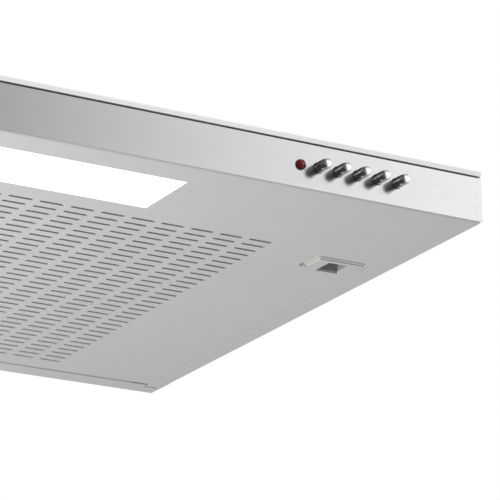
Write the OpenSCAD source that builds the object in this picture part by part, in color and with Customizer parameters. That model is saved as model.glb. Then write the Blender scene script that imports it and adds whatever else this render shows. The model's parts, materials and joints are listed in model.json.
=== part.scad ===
// Under cabinet range hood: a folded sheet steel casing with a low front and a tall rear box,
// a slotted grille that swings down on a rear hinge, a push button bar in a steel fascia,
// a lamp window, and a centrifugal fan that blows up through a round outlet.
// The origin is the middle of the face that rests against the cabinet, on the outlet's axis.
// X runs to the right, Y runs back to the wall, Z is up.

/* [Casing] */
// Width across the side panels
hood_w = 600; // [598:0.5:610]
// Depth from the front face to the wall
hood_d = 500; // [498:0.5:506]
// Height from the underside to the cabinet face
hood_h = 130; // [130:1:140]
// Height of the low front
front_h = 39.2; // [39:0.1:40]
// Depth of the tall rear box
box_d = 250; // [248:1:252]
// Run of the sloped step between the low front and the box
slope_run = 55; // [50:1:60]
// Thickness of the sheet steel
sheet = 0.8; // [0.7:0.1:0.9]
// Depth of the strip behind the grille
rail_d = 19.6; // [19:0.1:21]

/* [Fascia] */
// Height of the steel fascia's top edge
fascia_top = 33.3; // [33:0.1:33.6]
// Height of the fascia's bottom fold
fascia_bottom = 1.8; // [1.6:0.1:2]
// Width of the shadow gap between the fascia and the trim above it
trim_gap = 1.6; // [1.2:0.1:1.8]

/* [Grille] */
// Columns of slots
slot_cols = 16; // [12:1:16]
// Rows of slots
slot_rows = 32; // [20:1:32]
// Distance between columns
slot_pitch_x = 24.16; // [23:0.01:24.2]
// Distance between rows
slot_pitch_y = 11.04; // [10:0.01:11.1]
// Length of a slot
slot_l = 19.5; // [16:0.1:20]
// Width of a slot
slot_w = 3; // [2:0.1:3.2]
// Distance from the front face to the first row of slots
slot_start = 111.6; // [108:0.1:114]
// Width of the lamp window
window_w = 148.8; // [130:0.1:150]
// Depth of the lamp window
window_d = 60.6; // [50:0.1:62]
// Distance from the front face to the lamp window
window_start = 28.6; // [26:0.1:30]

/* [Controls] */
// Number of push buttons
button_count = 5; // [5]
// Distance between push buttons
button_pitch = 16.15; // [15:0.05:16.5]
// Diameter of a push button
button_d = 7.7; // [7:0.1:8]
// Length of a push button in front of the fascia
button_out = 12.5; // [10:0.1:14]
// Travel of a push button
button_travel = 3; // [2:0.1:3]
// Distance from the right side to the outermost push button
button_edge = 72.7; // [70:0.1:76]
// Height of the push buttons above the underside
button_z = 17; // [16:0.1:18]

/* [Latches] */
// Distance from the side to the middle of a finger pocket
pocket_edge = 39.8; // [39:0.1:41]
// Distance from the front face to the middle of a finger pocket
pocket_y = 139.8; // [139:0.1:141]
// Width of a finger pocket
pocket_w = 18.8; // [18:0.1:19]
// Depth of a finger pocket from front to back
pocket_d = 19.6; // [19:0.1:20]
// Travel of a latch
latch_travel = 5; // [4:0.1:5]

/* [Fan and outlet] */
// Outer diameter of the outlet
outlet_d = 119; // [118:0.5:120]
// Height of the outlet above the cabinet face
outlet_h = 35; // [30:1:40]
// Outer diameter of the impeller
impeller_d = 130; // [120:1:130]
// Number of impeller blades
blade_count = 36; // [24:1:40]

/* [Mounting] */
// Spacing of the cabinet screw holes across the hood
cabinet_hole_x = 500; // [480:1:520]
// Spacing of the cabinet screw holes from front to back
cabinet_hole_y = 180; // [160:1:190]
// Diameter of the cabinet screw holes
cabinet_hole_d = 5.5; // [5:0.1:6]
// Spacing of the wall screw holes
wall_hole_x = 440; // [400:1:460]

/* [Hidden] */

$fn = 48;
half_w = hood_w / 2;
front_y = box_d / 2 - hood_d;
under_z = -hood_h;
box_y = hood_d - box_d;
slope_y = box_y - slope_run;
slope_rise = hood_h - front_h;
slope_len = sqrt(slope_run * slope_run + slope_rise * slope_rise);
bend_in = sheet * (slope_len - slope_run) / slope_rise;
fold = 12;
seam = 0.8;
steel_grey = [0.78, 0.78, 0.77];
zinc = [0.72, 0.73, 0.75];
plastic_dark = [0.12, 0.12, 0.13];

// Grille: its plate, its rear roll on the hinge axis, the pressed lines and the beads
plate = 1.2;
roll_r = 3;
roll_bore_r = 2;
pin_r = 1.5;
hinge_y = hood_d - rail_d - seam - roll_r;
hinge_z = roll_r;
tab_edge = 5;
tab_t = 2;
line_front = 20.2;
line_back = 14.7;
line_start = 16.7;
line_w = 1;
line_depth = 0.9;
lip_r = 4.5;
lip_a = 40;
lip_start = sheet + 1;
rim_h = 8;
rim_inset = 1.2;
front_rim_y = 14;
rim_back_gap = 9;
strip_end = hood_d - rail_d + 3.2;
horn_w = 3;
horn_y = hinge_y - 10;
bead_w = 7;
bead_floor = 0.9;
bead_depth = 2.2;
bead_edge = 66.6;
bead_end = 20.8;
bead_front = pocket_y - 20.8;
bead_run = 27;
pad_low = 1.9;
pad_high = 3.1;
pad_back = pocket_y + 14;

// Latch: a cup that a fingertip fits, with a nose above a leaf keeper
cup_wall = 1.6;
cup_play = 0.25;
cup_base = pad_low + 0.15;
lug_z = 4.15;
cup_top = 15;
nose_z = 5.6;
nose_t = 2.6;
nose_w = 10;
nose_edge = 22;
keeper_edge = nose_edge + latch_travel - 1.5;
keeper_z = 4.4;
latch_spring_r = 2.4;
latch_spring_z = 10;
latch_post = half_w - pocket_edge - 21.8;
latch_spring_x = half_w - pocket_edge - pocket_w / 2 - cup_play - cup_wall;

// Buttons: barrel, collar and stem in the switch housing
collar_r = 5;
collar_y = 3.4;
collar_t = 1.5;
stem_r = 2;
chamber_r = 5.6;
chamber_end = collar_y + collar_t + button_travel + 7.1;
housing_end = 26;
stem_end = 24;
pilot_edge = button_edge + 78.9;
pilot_bore_r = 3.5;

// Lamp and grease filter
led_w = 136;
led_rows = [-14, 14];
led_top = front_h - sheet - 3;
filter_w = 424;
filter_y = 101;
filter_d = 362;
filter_low = plate + 0.1;
filter_h = 9;

// Fan: snail housing, impeller and motor on one vertical axis
fan_x = 155;
fan_y = -20;
shell_t = 2;
base_z = 32;
cover_z = 88;
tongue_a = 150;
scroll_r = impeller_d / 2 + 7;
scroll_growth = 28;
channel_low = fan_y + scroll_r * sin(tongue_a);
channel_high = fan_y + scroll_r + scroll_growth;
plenum = 66;
collar_in = 53.5;
collar_out = 55.3;
inlet_r = 50;
impeller_low = 38;
impeller_high = 84;
shaft_r = 3.95;
bore_r = 4;
motor_r = 46;
motor_low = 95;
motor_high = 125;
mount_circle = 56;
post_spots = [[-56, -56], [-56, 70], [100, -72], [215, -65], [215, 35]];

// Outlet: tube, ledge and two half round flaps on one pin
outlet_r = outlet_d / 2;
outlet_in = outlet_r - 2;
neck_r = outlet_r - 0.9;
flange_r = 72;
flange_t = 1.5;
flange_z = -sheet - 0.05 - flange_t;
flap_r = outlet_in - 1;
flap_z = 12;
flap_t = 1.2;
flap_pin_r = 1.5;
knuckle_r = 2.8;
knuckle_w = 10;
knuckle_pitch = 10.5;
knuckle_count = 5;

// Cable entry and terminal box
gland_x = -160;
gland_y = 85;
gland_bore_r = 4.5;
gland_r = 7.9;

// Moves children from the front bottom edge's frame to the origin's frame
module from_front() {
    translate([0, front_y, under_z]) children();
}

// Keeps the height above the underside but leaves X and Y on the outlet's axis
module from_under() {
    translate([0, 0, under_z]) children();
}

// Extrudes a profile drawn in depth and height along X
module along_x(length) {
    translate([-length / 2, 0, 0]) rotate([90, 0, 90]) linear_extrude(length) children();
}

// A solid cylinder that points back from a place on the front
module rod_back(x, y, z, r, length) {
    translate([x, y, z]) rotate([-90, 0, 0]) cylinder(r = r, h = length);
}

module mirrored(side) {
    mirror([side < 0 ? 1 : 0, 0, 0]) children();
}

module both_sides() {
    for (side = [-1, 1]) mirrored(side) children();
}

// Place of the pressed line near a side, which runs outwards from front to back
function x_at_line(y, off) = half_w + off
    - (line_front + (line_back - line_front) * (y - line_start) / (hood_d - line_start - 14));

// A round wire bent into a helix, as one closed tube
module helix(radius, wire, length, turns, steps = 14, sides = 6) {
    count = round(turns * steps);
    points = [for (i = [0 : count]) for (j = [0 : sides - 1])
        let (a = 360 * i / steps, b = 360 * j / sides, r = radius + wire * cos(b))
        [r * cos(a), r * sin(a), wire + (length - 2 * wire) * i / count + wire * sin(b)]];
    skin = [for (i = [0 : count - 1]) for (j = [0 : sides - 1])
        let (k = (j + 1) % sides)
        [i * sides + j, (i + 1) * sides + j, (i + 1) * sides + k, i * sides + k]];
    start = [for (j = [0 : sides - 1]) j];
    end = [for (j = [sides - 1 : -1 : 0]) count * sides + j];
    polyhedron(points = points, faces = concat(skin, [start, end]), convexity = 10);
}

// Points along a route whose corners are cut to smooth bends, twice over
function cut_corners(p) = concat([p[0]], [for (i = [0 : len(p) - 2]) for (t = [0.25, 0.75])
    p[i] * (1 - t) + p[i + 1] * t], [p[len(p) - 1]]);

// A wire along a route that is never vertical, as one closed tube
module wire_run(route, r, sides = 8) {
    p = cut_corners(cut_corners(route));
    last = len(p) - 1;
    points = [for (i = [0 : last])
        let (d = p[min(i + 1, last)] - p[max(i - 1, 0)],
             across = cross(d, [0, 0, 1]) / norm(cross(d, [0, 0, 1])),
             up = cross(across, d) / norm(cross(across, d)))
        for (j = [0 : sides - 1])
            p[i] + r * (cos(360 * j / sides) * across + sin(360 * j / sides) * up)];
    skin = [for (i = [0 : last - 1]) for (j = [0 : sides - 1])
        let (k = (j + 1) % sides)
        [i * sides + j, (i + 1) * sides + j, (i + 1) * sides + k, i * sides + k]];
    start = [for (j = [0 : sides - 1]) j];
    end = [for (j = [sides - 1 : -1 : 0]) last * sides + j];
    polyhedron(points = points, faces = concat(skin, [start, end]), convexity = 10);
}

// Pan head screw that points down from its head's underside
module screw(r = 1.9, length = 8, head_r = 3.6, head_h = 2) {
    translate([0, 0, -length]) cylinder(r = r, h = length, $fn = 24);
    difference() {
        cylinder(r = head_r, h = head_h, $fn = 24);
        translate([0, 0, head_h - 0.9]) for (a = [0, 90]) rotate([0, 0, a])
            translate([-head_r * 0.6, -0.45, 0]) cube([head_r * 1.2, 0.9, 1]);
    }
}

module top_panel() {
    color(steel_grey) difference() {
        from_front() along_x(hood_w - 2 * sheet) polygon([
            [8, front_h - sheet - 0.3], [8, front_h - 0.3], [slope_y, front_h], [box_y, hood_h],
            [hood_d - sheet, hood_h], [hood_d - sheet, hood_h - sheet],
            [box_y + bend_in, hood_h - sheet], [slope_y + bend_in, front_h - sheet]]);
        translate([0, 0, -fold]) cylinder(r = outlet_r + 0.3, h = 2 * fold, $fn = 96);
        for (a = [45 : 90 : 315]) rotate([0, 0, a]) translate([flange_r - 6, 0, -fold])
            cylinder(r = 1.6, h = 2 * fold);
        translate([gland_x, gland_y, -fold]) cylinder(r = gland_r + 0.1, h = 2 * fold);
        for (x = [-1, 1]) for (y = [-1, 1])
            translate([x * cabinet_hole_x / 2, y * cabinet_hole_y / 2, -fold])
                cylinder(d = cabinet_hole_d, h = 2 * fold);
    }
}

module back_panel() {
    color(steel_grey) difference() {
        from_front() translate([-half_w + sheet, hood_d - sheet, sheet])
            cube([hood_w - 2 * sheet, sheet, hood_h - sheet]);
        for (x = [-1, 1]) rod_back(x * wall_hole_x / 2, box_d / 2 - fold, -30, 3, 2 * fold);
    }
}

// Side sheet with a bottom return above the grille and tabs below the top sheet
module side_panel(side) {
    low = plate + 0.6;
    color(steel_grey) mirrored(side) from_front() {
        translate([half_w - sheet, 0, 0]) rotate([90, 0, 90]) linear_extrude(sheet) polygon([
            [sheet + 0.3, fascia_bottom + 0.4], [line_start, fascia_bottom + 0.4], [line_start, low],
            [hood_d, low], [hood_d, hood_h], [box_y, hood_h], [slope_y, front_h], [8, front_h - 0.3],
            [8, front_h - 5], [sheet + 0.3, front_h - 5]]);
        translate([half_w - 8, line_start, low]) cube([8 - sheet / 2, hinge_y - line_start - 20, sheet]);
        for (y = [60, 180, 300, 420])
            translate([half_w - sheet - fold, y, y > box_y ? hood_h - 3 : front_h - 3])
                cube([fold + sheet / 2, 14, 1]);
    }
}

// Strip between the grille and the wall, with horns beside the grille's hinge tabs
module rear_rail() {
    start = hood_d - rail_d;
    notch = 15;
    color(steel_grey) from_front() difference() {
        union() {
            linear_extrude(sheet) polygon([
                [-half_w, horn_y], [horn_w - half_w, horn_y], [horn_w - half_w, start + 5.4],
                [-half_w + notch, start + 5.4], [-half_w + notch, start], [half_w - notch, start],
                [half_w - notch, start + 5.4], [half_w - horn_w, start + 5.4],
                [half_w - horn_w, horn_y], [half_w, horn_y], [half_w, hood_d], [-half_w, hood_d]]);
            translate([-half_w + 2 * notch, start, 0]) cube([hood_w - 4 * notch, sheet, rim_h]);
            translate([-half_w + 1, hood_d - 2 * sheet - 0.1, 0]) cube([hood_w - 2, sheet, fold]);
        }
        for (x = [-1, 1]) rod_back(x * 150, hood_d - 5, fold / 2 + 1, 1.5, 6);
    }
}

// Bright strip along the top of the front, above the shadow gap
module front_trim() {
    z = fascia_top + trim_gap;
    nose = 1.5;
    color([0.85, 0.85, 0.86]) from_front() {
        along_x(hood_w) polygon(concat([[0, z], [7.7, z], [7.7, front_h]],
            [for (a = [90 : -15 : 0]) [nose - nose * cos(a), front_h - nose + nose * sin(a)]]));
        along_x(hood_w - 2 * sheet - 0.4) polygon([[7, z], [12, z], [12, front_h - sheet - 0.4],
            [7, front_h - sheet - 0.4]]);
    }
}

module fascia() {
    skirt = 0.4;
    color([0.8, 0.8, 0.81]) from_front() difference() {
        union() {
            translate([-half_w, 0, skirt]) cube([hood_w, sheet, fascia_top - skirt]);
            for (z = [fascia_bottom, fascia_top - sheet])
                translate([-half_w + 1.2, sheet / 2, z]) cube([hood_w - 2.4, fold, sheet]);
        }
        for (i = [0 : button_count - 1])
            rod_back(button_x(i), -1, button_z, button_d / 2 + 0.35, 4);
        rod_back(half_w - pilot_edge, -1, button_z, pilot_bore_r, 4);
    }
}

// Screws that hold the casing, the outlet, the rail and the motor's bracket
module casing_screws() {
    color(zinc) {
        from_front() {
            for (x = [-1, 1]) translate([x * 150, hood_d - 2 * sheet - 0.15, fold / 2 + 1])
                rotate([90, 0, 0]) screw(r = 1.4, length = 0.7, head_r = 2.8, head_h = 1.6);
        }
        for (a = [45 : 90 : 315]) rotate([0, 0, a]) translate([flange_r - 6, 0, flange_z])
            mirror([0, 0, 1]) screw(r = 1.5, length = flange_t + sheet, head_r = 3, head_h = 1.8);
        from_under() translate([fan_x, fan_y, 0]) for (a = [30 : 120 : 270]) rotate([0, 0, a])
            translate([mount_circle, 0, 97]) screw(r = 1.9, length = 10, head_r = 4.2, head_h = 2);
    }
}

function button_x(i) = half_w - button_edge - button_pitch * i;

// Block with one sprung chamber for each button and a bore for the pilot lamp
module switch_housing() {
    right = half_w - button_edge + 9;
    left = half_w - pilot_edge - 8;
    low = 10.2;
    color(plastic_dark) from_front() difference() {
        union() {
            translate([left, 1, low]) cube([right - left, housing_end - 1, 17.8]);
            for (x = [left - 7, right]) translate([x, 1, 12]) cube([7, 3, 10]);
            for (i = [0 : button_count - 1]) for (z = [low + 0.8, 22])
                translate([button_x(i) - 1.5, housing_end, z]) cube([3, 7, 0.8]);
        }
        for (i = [0 : button_count - 1]) {
            rod_back(button_x(i), 0, button_z, chamber_r, chamber_end);
            rod_back(button_x(i), 0, button_z, stem_r + 0.1, housing_end + 1);
        }
        rod_back(half_w - pilot_edge, 0, button_z, pilot_bore_r, chamber_end + 1);
    }
}

// Chrome button: rounded face, shadow groove, barrel, collar and stem
module button(i) {
    r = button_d / 2;
    color([0.85, 0.86, 0.88]) from_front() translate([button_x(i), 0, button_z]) rotate([-90, 0, 0])
        rotate_extrude() polygon([
            [0, -button_out], [r - 0.75, -button_out], [r - 0.4, -button_out + 0.12],
            [r - 0.12, -button_out + 0.4], [r, -button_out + 0.8], [r, -button_out + 2],
            [r - 0.35, -button_out + 2.15], [r - 0.35, -button_out + 2.55], [r, -button_out + 2.7],
            [r, collar_y], [collar_r, collar_y], [collar_r, collar_y + collar_t],
            [stem_r, collar_y + collar_t], [stem_r, stem_end], [0, stem_end]]);
}

module button_spring(i) {
    start = collar_y + collar_t;
    color(zinc) from_front() translate([button_x(i), start, button_z]) rotate([-90, 0, 0])
        helix(3.4, 0.35, chamber_end - start, 5);
}

module pilot_lens() {
    color([0.65, 0.08, 0.06]) from_front() translate([half_w - pilot_edge, 0, button_z])
        rotate([-90, 0, 0]) rotate_extrude() polygon([
            [0, -3], [1.4, -2.9], [2.6, -2.5], [3.4, -1.8], [3.9, -0.9], [4, -0.1],
            [3.4, -0.1], [3.4, 9], [2.5, 9], [2.5, 0], [0, 0]]);
}

module pilot_lamp() {
    color([1, 0.6, 0.4]) from_front() rod_back(half_w - pilot_edge, 1.2, button_z, 2.2, 14);
}

// Open tray above the lamp window
module lamp_housing() {
    w = window_w + 18;
    d = window_d + 14;
    low = 10;
    high = front_h - sheet - 2;
    color("white") from_front() translate([-w / 2, window_start - 7, 0]) difference() {
        union() {
            translate([0, 0, low]) cube([w, d, high - low]);
            for (x = [-8, w]) translate([x, d / 2 - 10, high - 1]) cube([8, 20, 1]);
        }
        translate([1, 1, low - 1]) cube([w - 2, d - 2, high - low]);
    }
}

module led_board() {
    color("gainsboro") from_front() for (y = led_rows)
        translate([-led_w / 2, window_start + window_d / 2 + y - 6, led_top - 1.5])
            cube([led_w, 12, 1.5]);
}

module led_chips() {
    color("lightyellow") from_front() for (y = led_rows) for (i = [0 : 11])
        translate([-led_w / 2 + 6 + 11.1 * i, window_start + window_d / 2 + y - 1.8, led_top - 2.4])
            cube([3.6, 3.6, 0.9]);
}

module led_driver() {
    color(plastic_dark) from_front() translate([102, 44, 16]) {
        cube([54, 26, 21]);
        for (x = [-6, 54]) translate([x, 8, 19.5]) cube([6, 10, 1.5]);
    }
}

// Diffuser with a bead that rests on the grille plate
module lamp_lens() {
    gap = 0.3;
    bead = 4;
    color([0.98, 0.98, 0.98]) from_front() {
        translate([-window_w / 2 + gap, window_start + gap, 0.1])
            cube([window_w - 2 * gap, window_d - 2 * gap, 1.9]);
        translate([-window_w / 2 - bead, window_start - bead, plate + 0.05])
            cube([window_w + 2 * bead, window_d + 2 * bead, 1.5]);
    }
}

module slot_2d() {
    run = slot_l - slot_w;
    square([run, slot_w], center = true);
    for (x = [-1, 1]) translate([x * run / 2, 0]) circle(d = slot_w, $fn = 16);
}

// Plan of the area behind an L shaped edge with a round corner, moved in by an offset
module corner_2d(offset, back) {
    r = max(bead_w - offset, 0.8);
    x = half_w - bead_edge + offset;
    y = bead_front + offset;
    end = half_w - bead_end;
    translate([x, y + r]) square([end - x, back - y - r]);
    translate([x + r, y]) square([end - x - r, back - y]);
    translate([x + r, y + r]) circle(r = r);
}

// Plan of a band between two offsets from the edge
module band_2d(from, to, back) {
    difference() {
        corner_2d(from, back);
        corner_2d(to, back + 5);
    }
}

// Recess along the front and the inner side of a finger pocket, with a deeper groove in it
module bead_cut() {
    translate([0, 0, -1]) {
        linear_extrude(1 + bead_floor) band_2d(0, bead_w, bead_front + bead_run - 1);
        linear_extrude(1 + bead_depth) band_2d(0.4, 4.5, bead_front + bead_run);
    }
}

// Full width slotted plate with folded rims, a lamp window, two finger pockets, pressed lines
// beside the sides, and a rolled rear edge between two hinge tabs
module grille_panel() {
    wing = half_w - 0.4;
    tail = half_w - horn_w - 0.2;
    front = lip_start + lip_r * sin(lip_a);
    first_x = -slot_pitch_x * (slot_cols - 1) / 2;
    roll_x = x_at_line(hinge_y, -line_w / 2 - 0.3);
    strip_x = x_at_line(hinge_y, line_w / 2 + 0.3);
    line_end = hinge_y + 3;
    rim_end = hinge_y - rim_back_gap;
    pad_x = half_w - bead_edge - 2;
    pad_w = bead_edge - bead_end + 3;
    color(steel_grey) from_front() difference() {
        union() {
            linear_extrude(plate) difference() {
                polygon([[-wing, front], [wing, front], [wing, horn_y - 0.2], [tail, horn_y - 0.2],
                    [tail, strip_end], [strip_x, strip_end], [strip_x, hinge_y], [-strip_x, hinge_y],
                    [-strip_x, strip_end], [-tail, strip_end], [-tail, horn_y - 0.2],
                    [-wing, horn_y - 0.2]]);
                translate([-window_w / 2, window_start]) square([window_w, window_d]);
                for (i = [0 : slot_cols - 1]) for (j = [0 : slot_rows - 1])
                    translate([first_x + i * slot_pitch_x, slot_start + j * slot_pitch_y]) slot_2d();
            }
            // soft front edge
            along_x(2 * wing) polygon(concat([[front, plate], [lip_start, plate]],
                [for (a = [lip_a : -5 : 0]) [front - lip_r * sin(a), lip_r - lip_r * cos(a)]]));
            translate([-half_w + 24, front_rim_y, 0]) cube([hood_w - 48, plate, rim_h + plate]);
            both_sides() {
                // side rim, open where the latch's nose works
                linear_extrude(rim_h + plate) difference() {
                    polygon([[x_at_line(line_start, -rim_inset - plate), front_rim_y],
                        [x_at_line(line_start, -rim_inset), front_rim_y],
                        [x_at_line(rim_end, -rim_inset), rim_end],
                        [x_at_line(rim_end, -rim_inset - plate), rim_end]]);
                    translate([pad_x, bead_front - 4]) square([60, pad_back - bead_front + 8]);
                }
                // thicker metal behind the pocket and its recess
                translate([pad_x, bead_front - 2, 0])
                    cube([pad_w, pad_back - bead_front + 2, pad_low]);
                translate([pad_x, bead_front - 2, 0]) cube([pad_w, 7.5, pad_high]);
                translate([pad_x, bead_front - 2, 0])
                    cube([7.5, pad_back - bead_front + 2, pad_high]);
                // hinge tab
                translate([half_w - tab_edge - tab_t, hinge_y - 6, 0])
                    cube([tab_t, 12, hinge_z + 3.5]);
            }
            translate([-roll_x, hinge_y, hinge_z]) rotate([0, 90, 0])
                cylinder(r = roll_r, h = 2 * roll_x);
        }
        translate([-roll_x - 0.5, hinge_y, hinge_z]) rotate([0, 90, 0])
            cylinder(r = roll_bore_r, h = 2 * roll_x + 1);
        both_sides() {
            bead_cut();
            translate([half_w - pocket_edge - pocket_w / 2, pocket_y - pocket_d / 2, -1])
                cube([pocket_w, pocket_d, pad_high + 2]);
            translate([half_w - tab_edge - tab_t - 1, hinge_y, hinge_z]) rotate([0, 90, 0])
                cylinder(r = pin_r + 0.05, h = tab_t + 2);
            // pressed line
            translate([0, 0, -1]) linear_extrude(line_depth + 1) polygon([
                [x_at_line(line_start, -line_w / 2), line_start],
                [x_at_line(line_start, line_w / 2), line_start],
                [x_at_line(line_end, line_w / 2), line_end],
                [x_at_line(line_end, -line_w / 2), line_end]]);
        }
    }
}

// Channel frame of the grease filter cassette
module filter_frame() {
    border = 9;
    wall = 0.8;
    color("silver") from_front() translate([-filter_w / 2, filter_y, filter_low]) difference() {
        cube([filter_w, filter_d, filter_h]);
        translate([border, border, -1]) cube([filter_w - 2 * border, filter_d - 2 * border, filter_h + 2]);
        translate([wall, wall, wall]) cube([filter_w - 2 * wall, filter_d - 2 * wall, filter_h - 2 * wall]);
    }
}

// Stack of expanded aluminium held by the frame
module filter_mesh() {
    inset = 1.5;
    color([0.7, 0.71, 0.72]) from_front()
        translate([-filter_w / 2 + inset, filter_y + inset, filter_low + 1.2])
            cube([filter_w - 2 * inset, filter_d - 2 * inset, filter_h - 2.4]);
}

// Sprung rods that press the filter cassette down on the plate
module filter_retainers() {
    z = filter_low + filter_h + 1.4;
    color(zinc) from_front() for (x = [-130, 130]) {
        translate([x, filter_y - 3, z]) rotate([-90, 0, 0]) cylinder(r = 1.2, h = filter_d + 6);
        for (y = [filter_y - 3, filter_y + filter_d + 3]) {
            translate([x, y, plate + 0.05]) cylinder(r = 1.2, h = z - plate - 0.05);
            translate([x, y, z]) sphere(r = 1.2);
        }
    }
}

// Cup that a fingertip pulls inwards, with the nose that hooks over the keeper
module latch_slider(side) {
    x0 = half_w - pocket_edge - pocket_w / 2 - cup_play;
    y0 = pocket_y - pocket_d / 2 - cup_play;
    w = pocket_w + 2 * cup_play;
    d = pocket_d + 2 * cup_play;
    color([0.62, 0.62, 0.6]) mirrored(side) from_front() {
        difference() {
            translate([x0 - cup_wall, y0 - cup_wall, cup_base])
                cube([w + 2 * cup_wall, d + 2 * cup_wall, cup_top - cup_base]);
            translate([x0, y0, cup_base - 1]) cube([w, d, cup_top - cup_base + 1 - cup_wall]);
        }
        translate([x0 + w, pocket_y - nose_w / 2, nose_z])
            cube([half_w - nose_edge - x0 - w, nose_w, nose_t]);
        for (y = [y0 - cup_wall - 2, y0 + d + cup_wall - 0.01])
            translate([x0, y, lug_z]) cube([w, 2.01, 1.4]);
    }
}

module latch_spring(side) {
    color(zinc) mirrored(side) from_front() translate([latch_spring_x, pocket_y, latch_spring_z])
        rotate([0, -90, 0]) helix(latch_spring_r, 0.3, latch_spring_x - latch_post, 6);
}

// Rails that keep the sliders down, and the posts that the springs push against
module latch_guides() {
    y0 = pocket_y - pocket_d / 2 - cup_play - cup_wall;
    y1 = pocket_y + pocket_d / 2 + cup_play + cup_wall;
    x = half_w - pocket_edge - 17.2;
    length = 29;
    lip_z = lug_z + 1.75;
    color([0.55, 0.55, 0.53]) both_sides() from_front() {
        translate([x, y0 - 5.5, pad_high]) cube([length, 3.2, lip_z - pad_high + 0.3]);
        translate([x, y0 - 5.5, lip_z]) cube([length, 4.9, 1.2]);
        translate([x, y1 + 2.4, plate]) cube([length, 3.2, lip_z - plate + 0.3]);
        translate([x, y1 + 0.7, lip_z]) cube([length, 4.9, 1.2]);
        translate([latch_post - 3.4, pocket_y - 5, pad_high])
            cube([3.4, 10, latch_spring_z + 5 - pad_high]);
    }
}

// Leaf springs on the casing that the latch noses rest over
module latch_keepers() {
    leaf = 0.6;
    rise = 18;
    color(zinc) both_sides() from_front() {
        translate([half_w - keeper_edge, pocket_y - 6, keeper_z])
            cube([keeper_edge - sheet, 12, leaf]);
        translate([half_w - sheet - leaf, pocket_y - 6, keeper_z]) cube([leaf, 12, rise]);
    }
}

// Plates inside the sides that carry the grille's hinge pins
module hinge_brackets() {
    color(zinc) both_sides() from_front() difference() {
        translate([half_w - sheet - 2, hinge_y - 8, plate + 0.1]) cube([2, 16, 14]);
        translate([half_w - sheet - 3, hinge_y, hinge_z]) rotate([0, 90, 0])
            cylinder(r = pin_r + 0.1, h = 4);
    }
}

// Stub pins that the grille's hinge tabs turn on
module hinge_pins() {
    start = half_w - tab_edge - tab_t - 1.5;
    color(zinc) both_sides() from_front() translate([start, hinge_y, hinge_z])
        rotate([0, 90, 0]) cylinder(r = pin_r, h = half_w - sheet - 0.2 - start);
}

// Plan of the air path: spiral, channel and the chamber below the outlet, grown by a wall
module snail(wall) {
    translate([fan_x, fan_y]) polygon([for (a = [tongue_a : 6 : tongue_a + 300])
        let (r = scroll_r + scroll_growth * (a - tongue_a) / 300 + wall) [r * cos(a), r * sin(a)]]);
    translate([plenum, channel_low - wall])
        square([fan_x - plenum, channel_high - channel_low + 2 * wall]);
    translate([-plenum - wall, -plenum - wall])
        square([2 * plenum + 2 * wall, plenum + channel_high + 2 * wall]);
}

module fan_housing() {
    color([0.2, 0.2, 0.21]) from_under() {
        translate([0, 0, base_z]) linear_extrude(shell_t) difference() {
            snail(shell_t);
            translate([fan_x, fan_y]) circle(r = inlet_r + 2.1, $fn = 96);
        }
        translate([0, 0, base_z]) linear_extrude(cover_z - base_z) difference() {
            snail(shell_t);
            snail(0);
        }
    }
}

module fan_cover() {
    color([0.2, 0.2, 0.21]) from_under() difference() {
        union() {
            translate([0, 0, cover_z]) linear_extrude(shell_t) snail(shell_t);
            translate([0, 0, cover_z])
                cylinder(r = collar_out, h = hood_h + flange_z - 0.05 - cover_z, $fn = 96);
            for (p = post_spots) translate([p[0], p[1], cover_z])
                cylinder(r = 6, h = hood_h - sheet - cover_z);
        }
        translate([0, 0, cover_z - 1]) cylinder(r = collar_in, h = hood_h, $fn = 96);
        translate([fan_x, fan_y, cover_z - 1]) cylinder(r = 13, h = 10);
        for (p = post_spots) translate([p[0], p[1], hood_h - sheet - 14])
            cylinder(r = 2.55, h = 20);
        translate([fan_x, fan_y, 0]) for (a = [30 : 120 : 270]) rotate([0, 0, a])
            translate([mount_circle, 0, cover_z - 1]) cylinder(r = 1.95, h = 10);
    }
}

// Threaded studs welded under the top sheet
module fan_studs() {
    color(zinc) from_under() for (p = post_spots)
        translate([p[0], p[1], hood_h - sheet - 13]) cylinder(r = 2.5, h = 13);
}

// Rounded mouth of the fan's inlet
module inlet_ring() {
    mouth = 8;
    lip = mouth - 2;
    middle = inlet_r + mouth;
    top = base_z + 0.4;
    color([0.25, 0.25, 0.26]) from_under() translate([fan_x, fan_y, 0]) rotate_extrude($fn = 96)
        polygon(concat(
            [[inlet_r + 2, base_z + 3.5], [inlet_r, base_z + 3.5]],
            [for (a = [0 : 15 : 90]) [middle - mouth * cos(a), top - mouth * sin(a)]],
            [[inlet_r + 16, top - mouth], [inlet_r + 16, top - lip]],
            [for (a = [90 : -15 : 0]) [middle - lip * cos(a), top - lip * sin(a)]]));
}

// Finger guard across the inlet: flat rings on six spokes
module inlet_guard() {
    bar = 1.6;
    color("silver") from_under() translate([fan_x, fan_y, base_z - 3]) {
        for (r = [18 : 9 : 45]) rotate_extrude() translate([r, 0]) square(bar);
        for (a = [0 : 60 : 300]) rotate([0, 0, a]) translate([8, -bar / 2, 0.3])
            cube([inlet_r - 8.7, bar, 1]);
        translate([0, 0, -0.4]) cylinder(r = 10, h = 2.4);
    }
}

// One forward curved blade between the impeller's inner and outer rings
module blade(outer, inner) {
    curve_r = 9;
    t = 0.9;
    translate([inner + 1.2, 0]) difference() {
        intersection() {
            translate([curve_r * 0.35, curve_r * 0.8]) circle(r = curve_r, $fn = 32);
            translate([-1.4, -3]) square([outer - inner - 0.6, curve_r]);
        }
        translate([curve_r * 0.35, curve_r * 0.8]) circle(r = curve_r - t, $fn = 32);
    }
}

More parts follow.
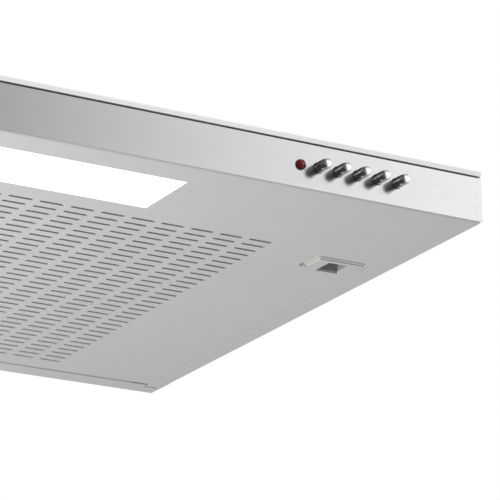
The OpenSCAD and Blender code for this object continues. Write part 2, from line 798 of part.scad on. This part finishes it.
module impeller() {
    outer = impeller_d / 2;
    inner = outer - 11;
    ring = 2;
    color([0.3, 0.3, 0.31]) from_under() translate([fan_x, fan_y, 0]) difference() {
        union() {
            translate([0, 0, impeller_high - ring]) cylinder(r = outer, h = ring, $fn = 96);
            translate([0, 0, impeller_low]) difference() {
                cylinder(r = outer, h = ring, $fn = 96);
                translate([0, 0, -1]) cylinder(r = inner, h = ring + 2, $fn = 96);
            }
            translate([0, 0, impeller_low + 0.5]) linear_extrude(impeller_high - impeller_low - 1)
                for (i = [0 : blade_count - 1]) rotate(360 * i / blade_count) blade(outer, inner);
            translate([0, 0, 58]) cylinder(r = 9, h = impeller_high - 58);
        }
        translate([0, 0, 50]) cylinder(r = bore_r, h = 50);
    }
}

module impeller_nut() {
    color(zinc) from_under() translate([fan_x, fan_y, 51.5]) difference() {
        cylinder(r = 7.5, h = 6.4, $fn = 6);
        translate([0, 0, -1]) cylinder(r = bore_r, h = 10);
    }
}

module motor_shaft() {
    color(zinc) from_under() translate([fan_x, fan_y, 49]) cylinder(r = shaft_r, h = motor_high - 50);
}

module motor_rotor() {
    color([0.6, 0.6, 0.62]) from_under() translate([fan_x, fan_y, 103]) difference() {
        cylinder(r = 23.4, h = 14);
        translate([0, 0, -1]) cylinder(r = bore_r, h = 16);
    }
}

module motor_bearings() {
    color("goldenrod") from_under() for (z = [motor_low + 0.5, motor_high - 6.5])
        translate([fan_x, fan_y, z]) difference() {
            cylinder(r = 8, h = 6);
            translate([0, 0, -1]) cylinder(r = bore_r, h = 8);
        }
}

module stator_core() {
    color([0.5, 0.5, 0.52]) from_under() translate([fan_x, fan_y, 103]) difference() {
        cylinder(r = motor_r - 2, h = 14);
        translate([0, 0, -1]) cylinder(r = 24, h = 16);
    }
}

module stator_coils() {
    color([0.72, 0.4, 0.2]) from_under() for (z = [98.5, 117.1])
        translate([fan_x, fan_y, z]) rotate_extrude() translate([26, 0]) square([13, 4.4]);
}

// Half of the motor's shell; the lower half opens upwards
module motor_shell() {
    height = (motor_high - motor_low) / 2;
    difference() {
        cylinder(r = motor_r, h = height);
        translate([0, 0, 2]) cylinder(r = motor_r - 1.8, h = height);
        translate([0, 0, -1]) cylinder(r = 7, h = height);
        translate([0, 0, 0.5]) cylinder(r = 8.02, h = height);
        for (a = [0 : 45 : 315]) rotate([0, 0, a + 22.5]) translate([18, -2, -1]) cube([20, 4, 4]);
    }
}

module motor_case() {
    color([0.7, 0.7, 0.72]) from_under() translate([fan_x, fan_y, motor_low]) motor_shell();
}

module motor_cap() {
    color([0.7, 0.7, 0.72]) from_under() translate([fan_x, fan_y, motor_high + 0.05])
        mirror([0, 0, 1]) motor_shell();
}

// Ring plate with three ears that hang on the rubber mounts
module motor_bracket() {
    color(zinc) from_under() translate([fan_x, fan_y, motor_low - 1.6]) difference() {
        union() {
            cylinder(r = 50, h = 1.5);
            for (a = [30 : 120 : 270]) rotate([0, 0, a]) translate([mount_circle, 0, 0])
                cylinder(r = 9, h = 1.5);
        }
        translate([0, 0, -1]) cylinder(r = 20, h = 4);
        for (a = [30 : 120 : 270]) rotate([0, 0, a]) translate([mount_circle, 0, -1])
            cylinder(r = 4.1, h = 4);
    }
}

module rubber_mounts() {
    top = cover_z + shell_t;
    color([0.08, 0.08, 0.08]) from_under() translate([fan_x, fan_y, 0])
        for (a = [30 : 120 : 270]) rotate([0, 0, a]) translate([mount_circle, 0, 0])
            rotate_extrude() polygon([[1.95, top], [6.5, top], [6.5, motor_low - 1.7],
                [4, motor_low - 1.7], [4, motor_low], [6.5, motor_low], [6, 97], [1.95, 97]]);
}

// Round outlet that stands up through the top sheet, its clamp ring below the sheet, and the
// pin that both flaps turn on
module outlet_spigot() {
    ledge_t = 1.5;
    ledge_z = flap_z - flap_pin_r - 0.1 - ledge_t;
    color([0.16, 0.16, 0.17]) {
        difference() {
            union() {
                translate([0, 0, flange_z]) cylinder(r = neck_r, h = 1 - flange_z, $fn = 96);
                translate([0, 0, 0.5]) cylinder(r = outlet_r, h = outlet_h - 0.5, $fn = 96);
            }
            difference() {
                translate([0, 0, flange_z - 1])
                    cylinder(r = outlet_in, h = outlet_h - flange_z + 2, $fn = 96);
                translate([0, 0, ledge_z]) difference() {
                    cylinder(r = outlet_in + 1, h = ledge_t, $fn = 96);
                    translate([0, 0, -1]) cylinder(r = outlet_in - 2.4, h = ledge_t + 2, $fn = 96);
                }
            }
            translate([-outlet_r - 1, 0, flap_z]) rotate([0, 90, 0])
                cylinder(r = flap_pin_r + 0.05, h = 2 * outlet_r + 2);
        }
        translate([0, 0, flange_z]) difference() {
            cylinder(r = flange_r, h = flange_t, $fn = 96);
            translate([0, 0, -1]) cylinder(r = neck_r + 0.05, h = flange_t + 2, $fn = 96);
            for (a = [45 : 90 : 315]) rotate([0, 0, a]) translate([flange_r - 6, 0, -1])
                cylinder(r = 1.6, h = flange_t + 2);
        }
    }
    color(zinc) translate([-outlet_r + 0.1, 0, flap_z]) rotate([0, 90, 0])
        cylinder(r = flap_pin_r, h = 2 * outlet_r - 0.2);
}

// Half round flap on the +Y side; its knuckles leave room for the other flap's
module damper_flap(shift) {
    color([0.3, 0.3, 0.32]) difference() {
        union() {
            translate([0, 0, flap_z - flap_t / 2]) linear_extrude(flap_t) difference() {
                circle(r = flap_r, $fn = 96);
                translate([-flap_r - 1, -2 * flap_r])
                    square([2 * flap_r + 2, 2 * flap_r + knuckle_r + 0.4]);
            }
            for (i = [0 : knuckle_count - 1]) {
                x = (2 * i - knuckle_count + shift) * knuckle_pitch;
                translate([x, 0, flap_z]) rotate([0, 90, 0]) cylinder(r = knuckle_r, h = knuckle_w);
                translate([x, 0, flap_z - flap_t / 2]) cube([knuckle_w, knuckle_r + 1, flap_t]);
            }
        }
        translate([-flap_r, 0, flap_z]) rotate([0, 90, 0])
            cylinder(r = flap_pin_r + 0.08, h = 2 * flap_r);
    }
}

// Terminal box below the cable gland, with the run capacitor beside it
module terminal_box() {
    color([0.85, 0.85, 0.83]) from_under() difference() {
        union() {
            translate([gland_x - 40, gland_y - 32, 88]) cube([80, 64, 41]);
            translate([gland_x - 40, gland_y - 46, 112]) rotate([0, 90, 0]) cylinder(r = 13, h = 62);
        }
        translate([gland_x - 38, gland_y - 30, 90]) cube([76, 60, 45]);
    }
}

// Gland for the supply cable, whose nut and cap sit below the top sheet
module cable_gland() {
    color([0.1, 0.1, 0.1]) translate([gland_x, gland_y, 0]) difference() {
        union() {
            translate([0, 0, -12]) cylinder(r = gland_r, h = 20);
            translate([0, 0, -sheet - 4.1]) cylinder(r = 10.5, h = 4, $fn = 6);
            translate([0, 0, -12]) cylinder(r = 9.5, h = 5);
        }
        translate([0, 0, -13]) cylinder(r = gland_bore_r, h = 22);
    }
}

// Leads from the terminal box to the motor, the lamp's driver and the switches
module wiring() {
    wire_r = 2.2;
    box_side = gland_x + 40;
    box_front = gland_y - 32.4;
    lamp_x = box_side - 60;
    switch_lead_x = box_side - 48;
    switch_x = button_x(2.5);
    color([0.3, 0.3, 0.32]) from_under() {
        wire_run([[box_side + 0.6, 105, 100], [-70, 112, 100], [120, 112, 100], [fan_x, 95, 105],
            [fan_x, fan_y + motor_r + 0.5, 108]], wire_r);
        wire_run([[lamp_x, box_front, 94], [lamp_x, -90, 94], [lamp_x, -125, 60], [lamp_x, -180, 30],
            [lamp_x, front_y + 112, 26], [100, front_y + 112, 26], [120, front_y + 71.3, 26]], wire_r);
        wire_run([[switch_lead_x, box_front, 94], [switch_lead_x, -90, 94],
            [switch_lead_x, -125, 60], [switch_lead_x, -180, 30], [switch_lead_x, front_y + 120, 26],
            [switch_x, front_y + 120, 26], [switch_x, front_y + 60, 20],
            [switch_x, front_y + housing_end + 0.6, 16]], wire_r);
    }
}

top_panel();
back_panel();
side_panel(-1);  // side_panel_left
side_panel(1);  // side_panel_right
rear_rail();
front_trim();
fascia();
casing_screws();
switch_housing();
button(0);  // button_1
button(1);  // button_2
button(2);  // button_3
button(3);  // button_4
button(4);  // button_5
button_spring(0);  // button_spring_1
button_spring(1);  // button_spring_2
button_spring(2);  // button_spring_3
button_spring(3);  // button_spring_4
button_spring(4);  // button_spring_5
pilot_lens();
pilot_lamp();
lamp_housing();
led_board();
led_chips();
led_driver();
lamp_lens();
grille_panel();
filter_frame();
filter_mesh();
filter_retainers();
latch_slider(-1);  // latch_slider_left
latch_slider(1);  // latch_slider_right
latch_spring(-1);  // latch_spring_left
latch_spring(1);  // latch_spring_right
latch_guides();
latch_keepers();
hinge_brackets();
hinge_pins();
fan_housing();
fan_cover();
fan_studs();
inlet_ring();
inlet_guard();
impeller();
impeller_nut();
motor_shaft();
motor_rotor();
motor_bearings();
stator_core();
stator_coils();
motor_case();
motor_cap();
motor_bracket();
rubber_mounts();
outlet_spigot();
mirror([0, 1, 0]) damper_flap(0);  // damper_flap_front
damper_flap(1);  // damper_flap_back
terminal_box();
cable_gland();
wiring();
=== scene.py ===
"""Looks of the under cabinet range hood: materials, finer pieces, light and camera."""
import json
import math

import bmesh
import bpy
from mathutils import Matrix, Vector


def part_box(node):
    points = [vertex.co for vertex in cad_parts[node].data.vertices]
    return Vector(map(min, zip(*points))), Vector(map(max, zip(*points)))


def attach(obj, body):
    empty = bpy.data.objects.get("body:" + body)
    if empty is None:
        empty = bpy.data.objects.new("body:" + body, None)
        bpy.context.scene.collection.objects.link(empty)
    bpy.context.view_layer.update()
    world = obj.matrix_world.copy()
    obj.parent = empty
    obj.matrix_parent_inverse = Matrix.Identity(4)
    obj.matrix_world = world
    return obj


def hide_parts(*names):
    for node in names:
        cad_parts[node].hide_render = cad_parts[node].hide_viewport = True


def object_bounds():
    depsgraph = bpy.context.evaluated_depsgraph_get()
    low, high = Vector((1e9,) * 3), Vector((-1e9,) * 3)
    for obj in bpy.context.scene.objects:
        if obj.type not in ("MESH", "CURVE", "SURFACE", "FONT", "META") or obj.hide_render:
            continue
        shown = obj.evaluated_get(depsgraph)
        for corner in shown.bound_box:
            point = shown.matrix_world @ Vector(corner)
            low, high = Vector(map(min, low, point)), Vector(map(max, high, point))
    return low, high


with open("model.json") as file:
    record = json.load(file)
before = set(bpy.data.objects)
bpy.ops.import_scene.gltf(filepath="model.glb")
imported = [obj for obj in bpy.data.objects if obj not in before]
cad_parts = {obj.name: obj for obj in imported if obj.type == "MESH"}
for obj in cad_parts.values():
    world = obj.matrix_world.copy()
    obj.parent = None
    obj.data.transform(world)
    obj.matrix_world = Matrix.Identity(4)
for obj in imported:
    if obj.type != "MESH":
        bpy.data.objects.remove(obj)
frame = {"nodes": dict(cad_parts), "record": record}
cad_low, cad_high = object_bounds()
NODES = frame["nodes"]

# Push button, in metres: cap radius, length in front of the fascia, and the groove behind the cap
BUTTON_R = 0.00385
BUTTON_OUT = 0.0125
FACE_R = 0.0027
FACE_CROWN = 0.00022
CAP_EDGE = 0.0013
CENTRE_R = 0.0003
GROOVE_START = 0.0021
GROOVE_DEPTH = 0.00042
GROOVE_EASE = 0.0001
COLLAR_BACK = 0.0034
COLLAR_T = 0.0015
STEM_R = 0.002

# Expanded mesh, in metres: half width and half thickness of a strand, and each layer's cell
STRAND_HALF_W = 0.00045
STRAND_HALF_T = 0.00018
STRAND_TWIST = 0.0003
MESH_GAP = 0.0012
MESH_CELLS = ((0.011, 0.0055), (0.014, 0.007), (0.011, 0.0055))

# Camera, from the front's bottom right corner, in metres and degrees
CAMERA_OFFSET = (-1.1715, -1.6803, -0.7155)
CAMERA_HEADING = -30.217
CAMERA_RISE = 18.831
CAMERA_ROLL = -0.458
CAMERA_LENS = 217.5
SENSOR = 36.0

FLOOR_DROP = 3.2
ROOM_SPLIT = 30
ROOM_STRENGTH = 1.35
FILL_STRENGTH = 0.32


# ---------------------------------------------------------------- materials

def new_material(name):
    mat = bpy.data.materials.new(name)
    mat.use_nodes = True
    tree = mat.node_tree
    return mat, tree, tree.nodes["Principled BSDF"]


def add(tree, kind, **sockets):
    node = tree.nodes.new(kind)
    for key, value in sockets.items():
        node.inputs[key.replace("_", " ")].default_value = value
    return node


def noise(tree, scale, detail=3.0, stretch=(1.0, 1.0, 1.0)):
    """Object-space noise, drawn out along the axes by stretch. Scale is per metre."""
    coords = tree.nodes.new("ShaderNodeTexCoord")
    mapping = tree.nodes.new("ShaderNodeMapping")
    mapping.inputs["Scale"].default_value = stretch
    tex = add(tree, "ShaderNodeTexNoise", Scale=scale, Detail=detail)
    tree.links.new(coords.outputs["Object"], mapping.inputs["Vector"])
    tree.links.new(mapping.outputs["Vector"], tex.inputs["Vector"])
    return tex.outputs["Fac"]


def spread(tree, value, low, high):
    """Maps a 0..1 noise onto low..high."""
    node = tree.nodes.new("ShaderNodeMapRange")
    node.inputs["From Min"].default_value = 0.25
    node.inputs["From Max"].default_value = 0.75
    node.inputs["To Min"].default_value = low
    node.inputs["To Max"].default_value = high
    tree.links.new(value, node.inputs["Value"])
    return node.outputs["Result"]


def tint(tree, value, colour, amount):
    """Colour that varies in brightness by plus or minus amount."""
    ramp = tree.nodes.new("ShaderNodeValToRGB")
    for stop, level in zip(ramp.color_ramp.elements, (1 - amount, 1 + amount)):
        stop.color = [min(1.0, c * level) for c in colour] + [1.0]
    ramp.color_ramp.elements[0].position = 0.3
    ramp.color_ramp.elements[1].position = 0.7
    tree.links.new(value, ramp.inputs["Fac"])
    return ramp.outputs["Color"]


def surface(name, colour, metal=0.0, rough=(0.3, 0.4), grain=300.0, stretch=(1, 1, 1),
            vary=0.03, bump=0.15, depth=0.00005, **sockets):
    """Procedural finish: brightness, roughness and relief all follow noise."""
    mat, tree, bsdf = new_material(name)
    fine = noise(tree, grain, 4.0, stretch)
    broad = noise(tree, grain / 40, 2.0, stretch)
    tree.links.new(tint(tree, broad, colour, vary), bsdf.inputs["Base Color"])
    tree.links.new(spread(tree, fine, *rough), bsdf.inputs["Roughness"])
    relief = add(tree, "ShaderNodeBump", Strength=bump, Distance=depth)
    tree.links.new(fine, relief.inputs["Height"])
    tree.links.new(relief.outputs["Normal"], bsdf.inputs["Normal"])
    bsdf.inputs["Metallic"].default_value = metal
    for key, value in sockets.items():
        bsdf.inputs[key.replace("_", " ")].default_value = value
    return mat


def banded(name, colours, scale, axis="Z", **options):
    """Finish with fine bands along one axis, such as stacked laminations or windings."""
    mat = surface(name, colours[0], **options)
    tree = mat.node_tree
    bsdf = tree.nodes["Principled BSDF"]
    coords = tree.nodes.new("ShaderNodeTexCoord")
    wave = add(tree, "ShaderNodeTexWave", Scale=scale, Distortion=0.4)
    wave.bands_direction = axis
    ramp = tree.nodes.new("ShaderNodeValToRGB")
    for stop, colour in zip(ramp.color_ramp.elements, colours):
        stop.color = list(colour) + [1.0]
    tree.links.new(coords.outputs["Object"], wave.inputs["Vector"])
    tree.links.new(wave.outputs["Fac"], ramp.inputs["Fac"])
    tree.links.new(ramp.outputs["Color"], bsdf.inputs["Base Color"])
    return mat


def glowing(name, colour, strength, flicker=0.02, **options):
    """A lit surface whose glow varies a little."""
    mat = surface(name, colour, **options)
    tree = mat.node_tree
    bsdf = tree.nodes["Principled BSDF"]
    tree.links.new(tint(tree, noise(tree, 25.0), colour, flicker), bsdf.inputs["Emission Color"])
    bsdf.inputs["Emission Strength"].default_value = strength
    return mat


BRUSHED_X = (0.02, 1.0, 1.0)
WARM_GREY = (0.60, 0.605, 0.585)

MATERIALS = {
    "painted": surface("satin_grey_paint", WARM_GREY, rough=(0.38, 0.48), grain=900, vary=0.012,
                       bump=0.12, depth=0.00004),
    "grille_paint": surface("grille_grey_paint", WARM_GREY, rough=(0.38, 0.48), grain=900,
                            vary=0.012, bump=0.12, depth=0.00004),
    "trim": surface("trim_steel", (0.90, 0.90, 0.90), 0.3, (0.42, 0.5), 1600, BRUSHED_X,
                    0.015, 0.04),
    "satin_steel": surface("satin_steel", (0.80, 0.80, 0.80), 1.0, (0.19, 0.25), 1600, BRUSHED_X,
                           0.012, 0.03, 0.00002),
    "chrome": surface("polished_chrome", (0.88, 0.885, 0.89), 1.0, (0.03, 0.07), 700, vary=0.02,
                      bump=0.03, depth=0.00001),
    "spring_steel": surface("spring_steel", (0.52, 0.53, 0.55), 1.0, (0.25, 0.4), 2500, vary=0.06),
    "zinc": surface("zinc_plate", (0.62, 0.64, 0.66), 1.0, (0.3, 0.5), 500, vary=0.08, bump=0.2),
    "wire": surface("bright_wire", (0.66, 0.67, 0.69), 1.0, (0.2, 0.34), 1500, vary=0.04),
    "shaft_steel": surface("ground_steel", (0.60, 0.61, 0.63), 1.0, (0.15, 0.3), 3000,
                           (1, 1, 0.05), 0.03),
    "lamination": banded("laminations", [(0.10, 0.10, 0.11), (0.30, 0.30, 0.32)], 300,
                         metal=0.8, rough=(0.4, 0.6)),
    "bronze": surface("sintered_bronze", (0.55, 0.36, 0.16), 1.0, (0.4, 0.6), 2500, vary=0.1),
    "copper": banded("enamelled_copper", [(0.20, 0.06, 0.02), (0.75, 0.30, 0.12)], 260,
                     metal=0.9, rough=(0.25, 0.4)),
    "motor_alloy": surface("die_cast_alloy", (0.60, 0.61, 0.62), 1.0, (0.4, 0.55), 800,
                           vary=0.06, bump=0.3),
    "aluminium": surface("rolled_aluminium", (0.74, 0.75, 0.76), 1.0, (0.28, 0.42), 1200,
                         BRUSHED_X, 0.04),
    "mesh_aluminium": surface("mesh_aluminium", (0.66, 0.67, 0.68), 1.0, (0.35, 0.5), 1200,
                              vary=0.08),
    "white_enamel": surface("white_enamel", (0.86, 0.86, 0.85), rough=(0.2, 0.3), grain=500,
                            vary=0.01),
    "white_board": surface("white_board", (0.84, 0.85, 0.83), rough=(0.35, 0.45), vary=0.02),
    "led_phosphor": glowing("led_phosphor", (1.0, 0.93, 0.72), 6.0),
    "diffuser": glowing("lit_diffuser", (1.0, 1.0, 0.99), 1.15, 0.004, rough=(0.15, 0.25),
                        grain=400, vary=0.01),
    "neon": glowing("neon_bulb", (1.0, 0.35, 0.15), 1.0, rough=(0.1, 0.2)),
    "red_lens": surface("red_lens", (0.085, 0.008, 0.007), rough=(0.05, 0.1), grain=400, vary=0.15,
                        bump=0.05, Coat_Weight=0.5),
    "dark_plastic": surface("dark_plastic", (0.045, 0.045, 0.048), rough=(0.38, 0.55), grain=1500,
                            vary=0.12, bump=0.3),
    "grey_plastic": surface("grey_plastic", (0.36, 0.36, 0.35), rough=(0.38, 0.5), grain=1500,
                            vary=0.04, bump=0.25),
    "light_plastic": surface("light_plastic", (0.74, 0.74, 0.70), rough=(0.35, 0.5), grain=1500,
                             vary=0.03, bump=0.25),
    "rubber": surface("moulded_rubber", (0.025, 0.025, 0.025), rough=(0.6, 0.75), grain=2500,
                      vary=0.15, bump=0.3),
    "wire_sheath": surface("lead_sleeve", (0.10, 0.10, 0.105), rough=(0.45, 0.6), grain=2500,
                           vary=0.12, bump=0.4),
}

for part in frame["record"]["subparts"]:
    mesh = NODES[part["node"]].data
    mesh.materials.clear()
    mesh.materials.append(MATERIALS[part["material_slot"]])


# ---------------------------------------------------------------- finer pieces

def new_piece(name, points, faces, body, material_slot, smooth=True):
    """A finished mesh that rides with a CAD body and takes the finish of a material slot."""
    mesh = bpy.data.meshes.new(name)
    mesh.from_pydata(points, [], faces)
    mesh.validate()
    work = bmesh.new()
    work.from_mesh(mesh)
    bmesh.ops.recalc_face_normals(work, faces=work.faces)
    work.to_mesh(mesh)
    work.free()
    if smooth:
        mesh.shade_smooth()
    mesh.materials.append(MATERIALS[material_slot])
    obj = bpy.data.objects.new(name, mesh)
    bpy.context.collection.objects.link(obj)
    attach(obj, body)
    return obj


def body_with(node):
    """Name of the CAD body that holds a node."""
    bodies = frame["record"]["behaviour"]["bodies"]
    return next(body for body, held in bodies.items() if node in held)


def turned(centre, profile, sides=64):
    """Surface of revolution about the Y axis from (radius, y) pairs, closed at both ends."""
    points, faces = [], []
    for radius, y in profile:
        for i in range(sides):
            angle = 2 * math.pi * i / sides
            points.append((centre.x + radius * math.cos(angle), y,
                           centre.z + radius * math.sin(angle)))
    for row in range(len(profile) - 1):
        for i in range(sides):
            k = (i + 1) % sides
            faces.append((row * sides + i, (row + 1) * sides + i,
                          (row + 1) * sides + k, row * sides + k))
    faces.append(tuple(range(sides)))
    faces.append(tuple(range((len(profile) - 1) * sides, len(profile) * sides)))
    return points, faces


def rounded_step(r_out, y_out, r_in, y_in, steps=5):
    """Quarter ellipse from a face at y_out and r_in to a side at r_out and y_in."""
    return [(r_in + (r_out - r_in) * math.sin(math.pi / 2 * i / steps),
             y_in + (y_out - y_in) * math.cos(math.pi / 2 * i / steps)) for i in range(steps + 1)]


def push_button(node):
    """Domed chrome cap, a ring groove, the barrel, then the collar and stem behind the fascia."""
    low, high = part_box(node)
    centre = (low + high) / 2
    collar = (high.x - low.x) / 2
    face = low.y
    groove = face + GROOVE_START
    eased = BUTTON_R - GROOVE_EASE
    bottom = BUTTON_R - GROOVE_DEPTH
    barrel_end = face + BUTTON_OUT + COLLAR_BACK
    collar_end = barrel_end + COLLAR_T
    steps = 6
    profile = [(CENTRE_R + (FACE_R - CENTRE_R) * t / steps, face + FACE_CROWN * (t / steps) ** 2)
               for t in range(steps + 1)]
    profile += rounded_step(BUTTON_R, face + FACE_CROWN, FACE_R, face + CAP_EDGE, 7)[1:]
    profile += [(BUTTON_R, groove), (eased, groove + 0.00015), (bottom, groove + 0.0003),
                (bottom, groove + 0.0007), (eased, groove + 0.00085), (BUTTON_R, groove + 0.001)]
    profile += [(BUTTON_R, barrel_end - GROOVE_EASE), (BUTTON_R, barrel_end),
                (collar, barrel_end), (collar, collar_end), (STEM_R, collar_end),
                (STEM_R, high.y)]
    points, faces = turned(centre, profile)
    piece = new_piece(node + "_turned", points, faces, body_with(node), "chrome")
    sharp(piece, 50)
    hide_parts(node)


def sharp(piece, degrees):
    """Keeps corners over an angle crisp on a smooth shaded piece."""
    piece.data.set_sharp_from_angle(angle=math.radians(degrees))


def expanded_layer(points, faces, low, high, z, cell_x, cell_y, flip):
    """One layer of zigzag strands whose bends meet those of the next strand."""
    corners = ((-STRAND_HALF_W, -STRAND_HALF_T), (STRAND_HALF_W, -STRAND_HALF_T),
               (STRAND_HALF_W, STRAND_HALF_T), (-STRAND_HALF_W, STRAND_HALF_T))
    columns = int((high.x - low.x) / (cell_x / 2))
    rows = int((high.y - low.y) / (cell_y / 2)) - 1
    for row in range(rows):
        middle = low.y + (row + 1) * cell_y / 2
        start = len(points)
        for i in range(columns + 1):
            swing = cell_y / 4 * (1 if (i + row + flip) % 2 else -1)
            x = low.x + i * (high.x - low.x) / columns
            twist = STRAND_TWIST if i % 2 else 0
            for dy, dz in corners:
                points.append((x, middle + swing + dy, z + dz + twist))
        for i in range(columns):
            for j in range(4):
                k = (j + 1) % 4
                a = start + 4 * i
                faces.append((a + j, a + 4 + j, a + 4 + k, a + k))
        faces.append((start, start + 1, start + 2, start + 3))
        end = start + 4 * columns
        faces.append((end, end + 3, end + 2, end + 1))


def filter_layers():
    """Expanded aluminium mesh in place of the plain slab."""
    low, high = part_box("filter_mesh")
    points, faces = [], []
    inset = Vector((MESH_GAP, MESH_GAP, 0))
    lowest = low.z + 0.0009
    rise = high.z - low.z - 0.0021
    for n, (cell_x, cell_y) in enumerate(MESH_CELLS):
        expanded_layer(points, faces, low + inset, high - inset, lowest + rise * n / 2,
                       cell_x, cell_y, n % 2)
    piece = new_piece("expanded_mesh", points, faces, body_with("filter_mesh"),
                      "mesh_aluminium", False)
    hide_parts("filter_mesh")


def soften(node, width):
    """Small rounding on a folded or moulded part's edges."""
    bevel = NODES[node].modifiers.new("edge", "BEVEL")
    bevel.width = width
    bevel.segments = 2
    bevel.limit_method = "ANGLE"
    bevel.angle_limit = math.radians(40)


for number in range(1, 6):
    push_button(f"button_{number}")
filter_layers()
for node, width in (("fascia", 0.0003), ("front_trim", 0.0003), ("terminal_box", 0.0008),
                    ("led_driver", 0.0006), ("switch_housing", 0.0004)):
    soften(node, width)


# ---------------------------------------------------------------- light, floor and camera

def look(obj, target):
    obj.rotation_euler = (Vector(target) - obj.location).to_track_quat("-Z", "Y").to_euler()


def area_light(name, place, target, size, watts, colour=(1, 1, 1)):
    data = bpy.data.lights.new(name, "AREA")
    data.size = size
    data.energy = watts
    data.color = colour
    obj = bpy.data.objects.new(name, data)
    bpy.context.collection.objects.link(obj)
    obj.location = place
    obj.visible_glossy = False
    look(obj, target)
    return obj


def studio():
    """White backdrop and a soft even fill; the room that the metal mirrors is dark on the left
    and low down, and bright on the right."""
    world = bpy.data.worlds.new("studio")
    bpy.context.scene.world = world
    world.use_nodes = True
    tree = world.node_tree
    tree.nodes.clear()
    coords = tree.nodes.new("ShaderNodeTexCoord")
    side = tree.nodes.new("ShaderNodeVectorMath")
    side.operation = "DOT_PRODUCT"
    split = math.radians(ROOM_SPLIT)
    side.inputs[1].default_value = (math.cos(split), math.sin(split), 0)
    ramp = tree.nodes.new("ShaderNodeValToRGB")
    ramp.color_ramp.interpolation = "EASE"
    ramp.color_ramp.elements[0].position = 0.42
    ramp.color_ramp.elements[0].color = (0.11, 0.11, 0.11, 1)
    ramp.color_ramp.elements[1].position = 0.55
    ramp.color_ramp.elements[1].color = (1, 1, 1, 1)
    half = tree.nodes.new("ShaderNodeMath")
    half.operation = "MULTIPLY_ADD"
    half.inputs[1].default_value = 0.5
    half.inputs[2].default_value = 0.5
    height = tree.nodes.new("ShaderNodeSeparateXYZ")
    level = tree.nodes.new("ShaderNodeMath")
    level.operation = "MULTIPLY_ADD"
    level.inputs[1].default_value = 0.5
    level.inputs[2].default_value = 0.5
    lift = tree.nodes.new("ShaderNodeValToRGB")
    lift.color_ramp.interpolation = "EASE"
    for stop, (place, grey) in zip(
            [lift.color_ramp.elements[0], lift.color_ramp.elements[1],
             lift.color_ramp.elements.new(0.72), lift.color_ramp.elements.new(0.82)],
            ((0.36, 0.28), (0.54, 1.0), (0.72, 1.0), (0.82, 0.02))):
        stop.position = place
        stop.color = (grey, grey, grey, 1)
    dim = tree.nodes.new("ShaderNodeVectorMath")
    dim.operation = "MULTIPLY"
    room = add(tree, "ShaderNodeBackground", Strength=ROOM_STRENGTH)
    fill = add(tree, "ShaderNodeBackground", Color=(1, 1, 1, 1), Strength=FILL_STRENGTH)
    backdrop = add(tree, "ShaderNodeBackground", Color=(1, 1, 1, 1), Strength=1.0)
    rays = tree.nodes.new("ShaderNodeLightPath")
    soft = tree.nodes.new("ShaderNodeMixShader")
    mix = tree.nodes.new("ShaderNodeMixShader")
    out = tree.nodes.new("ShaderNodeOutputWorld")
    tree.links.new(coords.outputs["Generated"], side.inputs[0])
    tree.links.new(side.outputs["Value"], half.inputs[0])
    tree.links.new(half.outputs["Value"], ramp.inputs["Fac"])
    tree.links.new(coords.outputs["Generated"], height.inputs["Vector"])
    tree.links.new(height.outputs["Z"], level.inputs[0])
    tree.links.new(level.outputs["Value"], lift.inputs["Fac"])
    tree.links.new(ramp.outputs["Color"], dim.inputs[0])
    tree.links.new(lift.outputs["Color"], dim.inputs[1])
    tree.links.new(dim.outputs["Vector"], room.inputs["Color"])
    tree.links.new(rays.outputs["Is Diffuse Ray"], soft.inputs["Fac"])
    tree.links.new(room.outputs["Background"], soft.inputs[1])
    tree.links.new(fill.outputs["Background"], soft.inputs[2])
    tree.links.new(rays.outputs["Is Camera Ray"], mix.inputs["Fac"])
    tree.links.new(soft.outputs["Shader"], mix.inputs[1])
    tree.links.new(backdrop.outputs["Background"], mix.inputs[2])
    tree.links.new(mix.outputs["Shader"], out.inputs["Surface"])


def pale_floor(height, half_size=9.0):
    mesh = bpy.data.meshes.new("floor")
    mesh.from_pydata([(x, y, height) for x, y in
                      ((-half_size, -half_size), (half_size, -half_size),
                       (half_size, half_size), (-half_size, half_size))], [], [(0, 1, 2, 3)])
    floor = bpy.data.objects.new("floor", mesh)
    bpy.context.collection.objects.link(floor)
    mesh.materials.append(surface("floor_paint", (0.86, 0.86, 0.86), rough=(0.6, 0.8), grain=40,
                                  vary=0.01, bump=0.02))
    floor.visible_glossy = False


def camera():
    """Stands in front, to the left and below, and looks up at the right half of the hood."""
    low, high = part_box("fascia")
    corner = Vector((high.x, low.y, cad_low.z))
    data = bpy.data.cameras.new("camera")
    data.sensor_width = SENSOR
    data.lens = CAMERA_LENS
    data.clip_end = 50
    cam = bpy.data.objects.new("camera", data)
    bpy.context.collection.objects.link(cam)
    heading = math.radians(CAMERA_HEADING)
    rise = math.radians(CAMERA_RISE)
    roll = math.radians(CAMERA_ROLL)
    cam.matrix_world = (Matrix.Translation(corner + Vector(CAMERA_OFFSET))
                        @ Matrix.Rotation(heading, 4, "Z")
                        @ Matrix.Rotation(math.pi / 2 + rise, 4, "X")
                        @ Matrix.Rotation(roll, 4, "Z"))
    bpy.context.scene.camera = cam


studio()
pale_floor(cad_low.z - FLOOR_DROP)
camera()
area_light("underside_key", (-0.85, -0.15, -0.75), (0.1, -0.1, cad_low.z), 0.5, 12)
area_light("front_soft", (-0.9, -2.2, 1.2), (0.1, -0.375, -0.1), 1.2, 54)
scene = bpy.context.scene
scene.view_settings.view_transform = "Standard"
scene.view_settings.look = "None"
